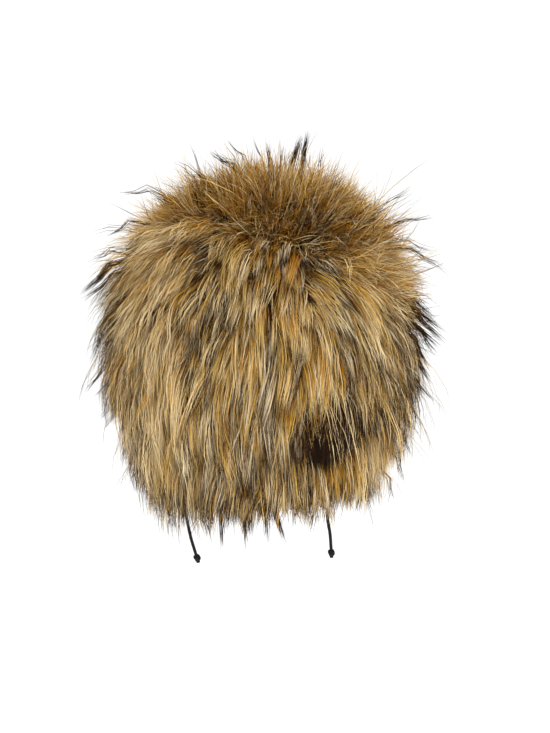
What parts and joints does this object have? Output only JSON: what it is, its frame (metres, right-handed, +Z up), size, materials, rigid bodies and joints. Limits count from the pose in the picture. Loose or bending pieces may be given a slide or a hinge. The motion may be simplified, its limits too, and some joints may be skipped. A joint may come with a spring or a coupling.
{
  "type": "faux fur trapper hat",
  "caption": "Long-pile faux fur trapper hat with turned-up front visor, hanging ear and neck flaps and a knotted cord tie below each ear.",
  "frame": {"origin": "middle of the crown's inside, where the top of the wearer's head touches it", "axes": "+Z up, out of the top of the head; +Y to the wearer's front, where the face opening is; +X to the right as seen from behind"},
  "size_m": [0.2703, 0.3159, 0.3234],
  "materials": {
    "backing": "matt knitted backing cloth of the pile, brown",
    "fur": "long soft acrylic pile, golden tan with dark brown tips",
    "cord": "round black braided cord"
  },
  "bodies": {
    "root": {"crown_wall": "backing", "crown_fur": "fur", "flap_wall": "backing", "flap_fur": "fur", "visor_wall": "backing", "visor_fur": "fur", "left_tie": "cord", "left_tie_knot": "cord", "right_tie": "cord", "right_tie_knot": "cord"}
  },
  "joints": []
}
